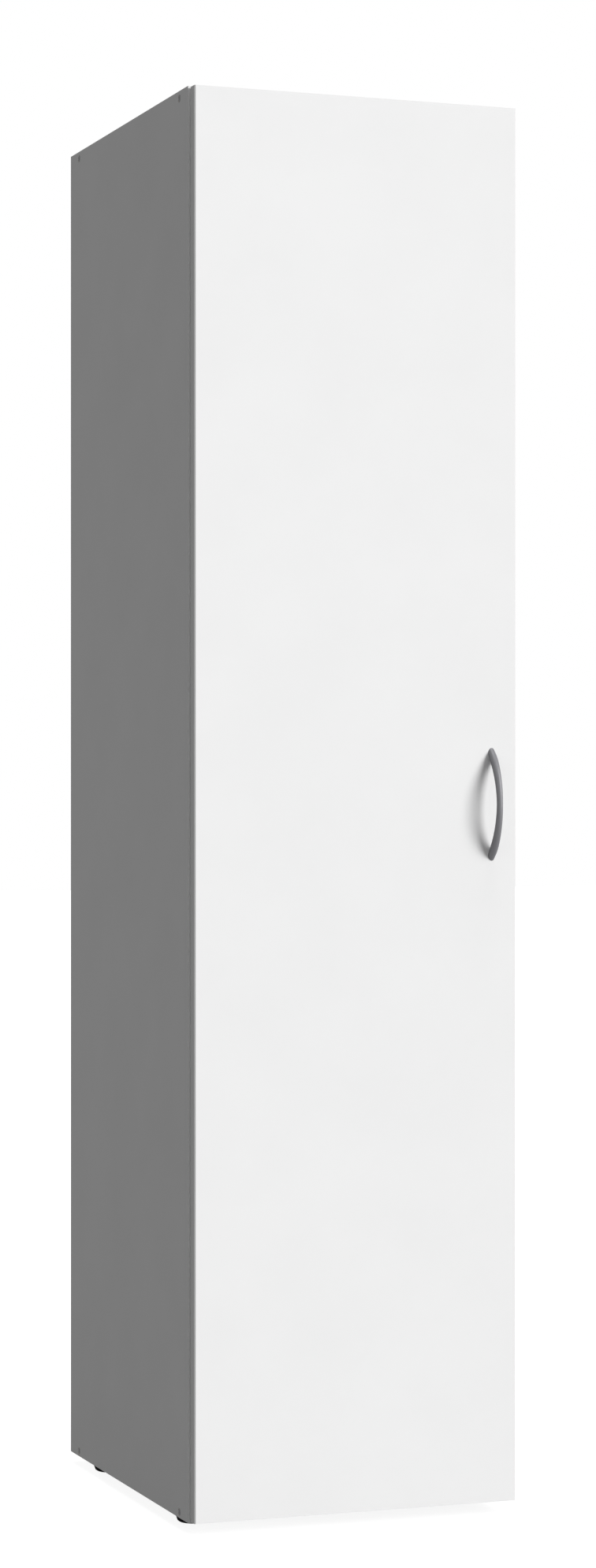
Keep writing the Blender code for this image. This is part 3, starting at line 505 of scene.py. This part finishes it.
def screw_head(name, place, direction, radius, height, material, body, replaced=(), recess=0.8,
               shank=()):
    """A domed head with a cross recess, and a shank behind it given as pairs of depth and radius.

    Height over the face is a dome, height x (1 - 0.45 x (r / radius) squared), less the recess. The
    recess is a smooth step on the smaller of |u| and |v|, the two ways across, times one on the larger.
    """
    share = np.concatenate([np.linspace(0.04, 0.96, 22), [0.99, 1.0, 1.0]])
    spin = np.linspace(0, 2 * np.pi, 96, endpoint=False)
    r = share[:, None] * radius
    u, v = r * np.cos(spin), r * np.sin(spin)
    small, large = np.minimum(np.abs(u), np.abs(v)), np.maximum(np.abs(u), np.abs(v))
    arm = np.clip((0.13 * radius - small) / (0.07 * radius) + 0.5, 0, 1)
    reach = np.clip((0.56 * radius - large) / (0.22 * radius) + 0.5, 0, 1)
    rise = height * (1 - 0.45 * share[:, None] ** 2) - recess * height * arm * reach
    rise[-2] = height * 0.42
    rise[-1] = -0.0002
    direction = np.asarray(direction, float)
    across = np.cross(direction, [0.0, 0.0, 1.0])
    across /= np.linalg.norm(across)
    upward = np.cross(direction, across)
    rings = np.asarray(place) + u[..., None] * across + v[..., None] * upward + rise[..., None] * direction
    behind = np.array(shank).reshape(-1, 2)
    turn = np.cos(spin)[:, None] * across + np.sin(spin)[:, None] * upward
    more = np.asarray(place) + behind[:, 1, None, None] * turn + behind[:, 0, None, None] * direction
    surface(name, np.concatenate([rings, more]), material, body, replaced, crease=40)


def make_handle_screws():
    """The two screws that hold the handle, put in from inside the door."""
    for word, z in HANDLE_SCREWS.items():
        place = (HANDLE_X, DOOR_REAR_Y + 0.0001, z)
        screw_head(f"handle_screw_{word}_head", place, (0, 1, 0), 0.004, 0.0022, ZINC, "door",
                   (f"handle_screw_{word}",))


def make_case_screws():
    """The eight countersunk screws of the carcass, each a flat head with a cross recess, and a thread.

    The thread's radius is its middle value plus a wave along the screw, one period each 2.6 mm.
    """
    depth = np.linspace(0.017, 0.047, 70)
    wave = 0.0027 + 0.0005 * np.cos(2 * np.pi * (depth - 0.017) / 0.0026)
    shank = [(-0.0010, 0.0048), (-0.0040, 0.0033), (-0.0162, 0.0033)]
    shank += [(-d, r) for d, r in zip(depth, wave)] + [(-0.0498, 0.0010), (-0.0500, 0.0001)]
    for side, x, way in (("left", LEFT_X, -1), ("right", RIGHT_X, 1)):
        for level, z in CASE_SCREW_Z.items():
            for end, y in CASE_SCREW_Y.items():
                node = f"case_screw_{side}_{level}_{end}"
                screw_head(node + "_body", (x - way * 0.0002, y, z), (way, 0, 0), 0.0048, 0.0001,
                           SCREW, "root", (node,), 6.0, shank)


def make_bumpers():
    """Two soft drops on the door's rear face, each a dome."""
    turn = np.linspace(0, np.pi / 2, 9)
    for word in ("lower", "upper"):
        low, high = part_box(f"door_bumper_{word}")
        radius, rise = (high[0] - low[0]) / 2, high[1] - DOOR_REAR_Y - 0.0001
        profile = np.stack([0.0001 + rise * np.sin(turn), radius * np.maximum(np.cos(turn), 0.03)], -1)
        centre = [(low[0] + high[0]) / 2, DOOR_REAR_Y, (low[2] + high[2]) / 2]
        surface(f"door_bumper_{word}_drop", turned(profile, centre, (0, 1, 0), 40), PAD, "door",
                (f"door_bumper_{word}",), crease=60)


# Hinges

def flange_outline():
    """The cup's flange in x and z about the cup's centre: a circle run together with an upright capsule."""
    disc, wing, offset, reach = 0.0190, 0.0060, 0.0095, 0.0225
    meet = math.degrees(math.asin((offset - wing) / disc))
    far = math.degrees(math.acos((offset + wing) / disc))
    upper = np.vstack([arc((0, 0), disc, 0, far, 8), arc((offset, reach), wing, 0, 180, 17),
                       arc((0, 0), disc, 90 - meet, 180, 20)[:-1]])
    lower = (upper * [1, -1])[::-1]
    return np.vstack([upper, [[-disc, 0.0]], lower[:-1]])


def make_cup(word, z):
    """A pressed cup: its flange with two wings, a rolled lip and a deep round bowl.

    Every ring has the flange outline's number of points. The flange's rings are that outline drawn in
    by the ease of its edge, and all others are circles through the outline's directions.
    """
    outline = flange_outline()
    distance = np.linalg.norm(outline, axis=1, keepdims=True)
    ray = outline / distance
    hull, bowl, lip, sheet = 0.0172, 0.0156, 0.0004, 0.0010
    rows = [(hull - 0.0010, -0.0122, 0), (hull, -0.0115, 0), (hull, 0.0001, 0), (None, 0.0001, 0.0),
            (None, FIT + sheet * 0.6, 0.0), (None, FIT + sheet, 0.0004), (bowl + 0.0014, FIT + sheet, 0),
            (bowl + 0.0010, FIT + sheet + lip, 0), (bowl + 0.0004, FIT + sheet + lip, 0),
            (bowl, FIT + sheet, 0), (bowl, -0.0090, 0), (bowl - 0.0016, -0.0108, 0), (0.0060, -0.0108, 0),
            (0.0052, -0.0104, 0), (0.0010, -0.0104, 0)]
    rings = np.empty((len(rows), len(outline), 3))
    for ring, (size, height, ease) in zip(rings, rows):
        flat = outline * (1 - ease / distance) if size is None else ray * size
        ring[:, 0], ring[:, 1], ring[:, 2] = CUP_X + flat[:, 0], DOOR_REAR_Y + height, z + flat[:, 1]
    surface(f"hinge_cup_{word}_bowl", rings, NICKEL, "door", (f"hinge_cup_{word}",),
            crease=32)
    half = math.sqrt(bowl ** 2 - (CUP_X - CUP_AXIS[0]) ** 2) + 0.0005
    pin(f"hinge_cup_{word}_pin", CUP_AXIS, z, half, "door")
    for way, end in ((-1, "lower"), (1, "upper")):
        place = (CUP_X + 0.0095, DOOR_REAR_Y + FIT + sheet, z + way * 0.0225)
        screw_head(f"hinge_cup_{word}_screw_{end}", place, (0, 1, 0), 0.0036, 0.0011, NICKEL, "door")


def pin(name, axis, z, half, body):
    """A hinge pin, upright, with eased ends."""
    profile = [(-half, PIN_RADIUS * 0.8), (0.0003 - half, PIN_RADIUS), (half - 0.0003, PIN_RADIUS),
               (half, PIN_RADIUS * 0.8)]
    surface(name, turned(profile, (axis[0], axis[1], z), (0, 0, 1), 24), NICKEL, body)


def arm_edge():
    """The arm's near and far edges in x and y, both from its nose to its heel."""
    seat = ARM_SEAT
    neck, heel = FRONT_Y + 0.006, FRONT_Y + 0.058
    left, right = ARM_AXIS[0] - NOSE_RADIUS, ARM_AXIS[0] + NOSE_RADIUS
    top = seat + ARM_HEIGHT
    near = [(left, ARM_AXIS[1]), (left, neck), (seat, neck + 0.014), (seat, heel)]
    far = [(right, ARM_AXIS[1]), (right, neck + 0.005), (top, neck + 0.019), (top, heel)]
    return rounded(near, 0.003), rounded(far, 0.003)


def make_arm(word, z):
    """A pressed arm: two cheeks joined by a web along its far side, a pin at its nose and two screws."""
    near, far = arm_edge()
    nose = arc(ARM_AXIS, NOSE_RADIUS, 180, 360, 15)
    cheek = np.vstack([nose, far[1:], near[:0:-1]])
    sheet, half = 0.0012, 0.0050
    for way, side in ((-1, "lower"), (1, "upper")):
        rings = prism(cheek, 2, z + way * (half - sheet), z + way * half)
        replaced = (f"hinge_arm_{word}",) if way > 0 else ()
        surface(f"hinge_arm_{word}_cheek_{side}", rings, NICKEL, "root", replaced,
                ends="flat", ease=0.0003)
    web = far.copy()
    web[0, 1] = ARM_AXIS[1] + 0.0056
    inner = web - [sheet, 0.0]
    rings = prism(np.vstack([web, inner[::-1]]), 2, z - half + sheet * 0.5, z + half - sheet * 0.5)
    surface(f"hinge_arm_{word}_web", rings, NICKEL, "root", ends="flat")
    pin(f"hinge_arm_{word}_pin", ARM_AXIS, z, half + 0.0002, "root")
    for number, y in enumerate((0.031, 0.047)):
        place = (ARM_SEAT + ARM_HEIGHT, FRONT_Y + y, z)
        screw_head(f"hinge_arm_{word}_screw_{number}", place, (1, 0, 0), 0.0032, 0.0010, ZINC, "root")


def make_plate(word, z):
    """A cross-shaped mounting plate with a ridge that the arm sits over, and a screw in each wing."""
    front, rear, middle = FRONT_Y + 0.022, FRONT_Y + 0.058, FRONT_Y + 0.037
    half, wing, reach = 0.0085, 0.0060, 0.024
    upper = np.vstack([[(rear, half), (middle + wing, half)], arc((middle, reach), wing, 0, 180, 15),
                       [(middle - wing, half), (front, half)]])
    outline = np.vstack([upper, (upper * [1, -1])[::-1]]) + [0.0, z]
    face = LEFT_X + BOARD
    surface(f"hinge_plate_{word}_cross", prism(outline, 0, face + 0.0001, face + 0.0033), NICKEL, "root",
            (f"hinge_plate_{word}",), ends="flat", ease=0.0005)
    ridge = [(front + 0.001, z - 0.0034), (rear - 0.001, z - 0.0034), (rear - 0.001, z + 0.0034),
             (front + 0.001, z + 0.0034)]
    surface(f"hinge_plate_{word}_ridge", prism(ridge, 0, face + 0.0030, face + 0.0085), NICKEL, "root",
            ends="flat", ease=0.0005)
    for way, end in ((-1, "lower"), (1, "upper")):
        place = (face + 0.0033, middle, z + way * reach)
        screw_head(f"hinge_plate_{word}_screw_{end}", place, (1, 0, 0), 0.0036, 0.0013, NICKEL, "root")


def make_hinges():
    """All pieces of the three concealed hinges, but for the links, which keep their solids."""
    for word, z in HINGES.items():
        make_cup(word, z)
        make_arm(word, z)
        make_plate(word, z)


# Stage

def make_stage():
    """A pale floor that the camera and mirrors see as white, with a faint shadow left on it."""
    size = 30.0
    mesh = bpy.data.meshes.new("floor")
    corners = [(-size, -size, 0), (size, -size, 0), (size, size, 0), (-size, size, 0)]
    mesh.from_pydata(corners, [], [(0, 1, 2, 3)])
    floor = bpy.data.objects.new("floor", mesh)
    bpy.context.collection.objects.link(floor)
    material = bpy.data.materials.new("pale_floor")
    material.use_nodes = True
    material.cycles.emission_sampling = "NONE"
    tree = material.node_tree
    tree.nodes.clear()
    plain = add(tree, "BsdfDiffuse", {"Color": linear("#6E6E6E")})
    weak = add(tree, "BsdfDiffuse", {"Color": linear("#8C8C8C")})
    white = add(tree, "Emission", {"Color": linear("#FFFFFF"), "Strength": 0.90})
    seen = add(tree, "AddShader", {0: weak.outputs[0], 1: white.outputs[0]})
    mix = add(tree, "MixShader", {0: sight(tree), 1: plain.outputs[0], 2: seen.outputs[0]})
    add(tree, "OutputMaterial", {0: mix.outputs[0]})
    mesh.materials.append(material)


def sight(tree):
    """1 for rays from the camera, from a mirror or through glass."""
    path = add(tree, "LightPath").outputs
    mirror = calc(tree, "MAXIMUM", path["Is Glossy Ray"], path["Is Transmission Ray"])
    return calc(tree, "MAXIMUM", path["Is Camera Ray"], mirror)


def make_light():
    """A soft key from the front right in three stacked lamps, even fills, and a white surround."""
    world = bpy.data.worlds.new("surround")
    bpy.context.scene.world = world
    world.use_nodes = True
    tree = world.node_tree
    tree.nodes.clear()
    dim = add(tree, "Background", {"Color": linear("#FFFFFF"), "Strength": 0.20})
    white = add(tree, "Background", {"Color": linear("#FFFFFF"), "Strength": 1.0})
    mix = add(tree, "MixShader", {0: sight(tree), 1: dim.outputs[0], 2: white.outputs[0]})
    add(tree, "OutputWorld", {0: mix.outputs[0]})
    world.cycles.sampling_method = "NONE"
    # Direction to the light, strength as a share of full light at right angles, width in degrees
    for name, towards, share, width in (("key_low", (0.642, -0.755, 0.140), 0.34, 29),
                                        ("key_middle", (0.615, -0.722, 0.320), 0.41, 29),
                                        ("key_high", (0.553, -0.650, 0.520), 0.31, 29),
                                        ("left_front_fill", (-0.80, -0.55, 0.25), 0.08, 40),
                                        ("left_fill", (-1.0, 0.15, 0.07), 0.485, 6),
                                        ("right_fill", (1.0, 0.15, 0.07), 0.15, 20),
                                        ("back_fill", (0.15, 1.0, 0.07), 0.82, 6),
                                        ("top_fill", (0.03, -0.05, 1.0), 0.49, 20)):
        lamp = bpy.data.lights.new(name, "SUN")
        lamp.energy = math.pi * share
        lamp.angle = math.radians(width)
        light = bpy.data.objects.new(name, lamp)
        light.rotation_mode = "QUATERNION"
        light.rotation_quaternion = Vector(towards).to_track_quat("Z", "Y")
        bpy.context.collection.objects.link(light)


def make_camera():
    """The photo's camera: level, 80 mm lens with shift, 4.7 m away on the cupboard's left."""
    data = bpy.data.cameras.new("camera")
    data.sensor_fit = "VERTICAL"
    data.sensor_height = 36.0
    data.sensor_width = 36.0
    data.lens = 79.7388
    data.shift_x = 0.017611
    data.shift_y = 0.010059
    camera = bpy.data.objects.new("camera", data)
    camera.location = (-1.63557, -4.44059, 0.93850)
    camera.rotation_euler = (math.pi / 2, 0.0, math.radians(-19.9035))
    bpy.context.collection.objects.link(camera)
    bpy.context.scene.camera = camera


dress_nodes()
make_handle()
make_feet()
make_edging()
make_handle_screws()
make_case_screws()
make_bumpers()
make_hinges()
make_stage()
make_light()
make_camera()
bpy.context.scene.view_settings.view_transform = "Standard"
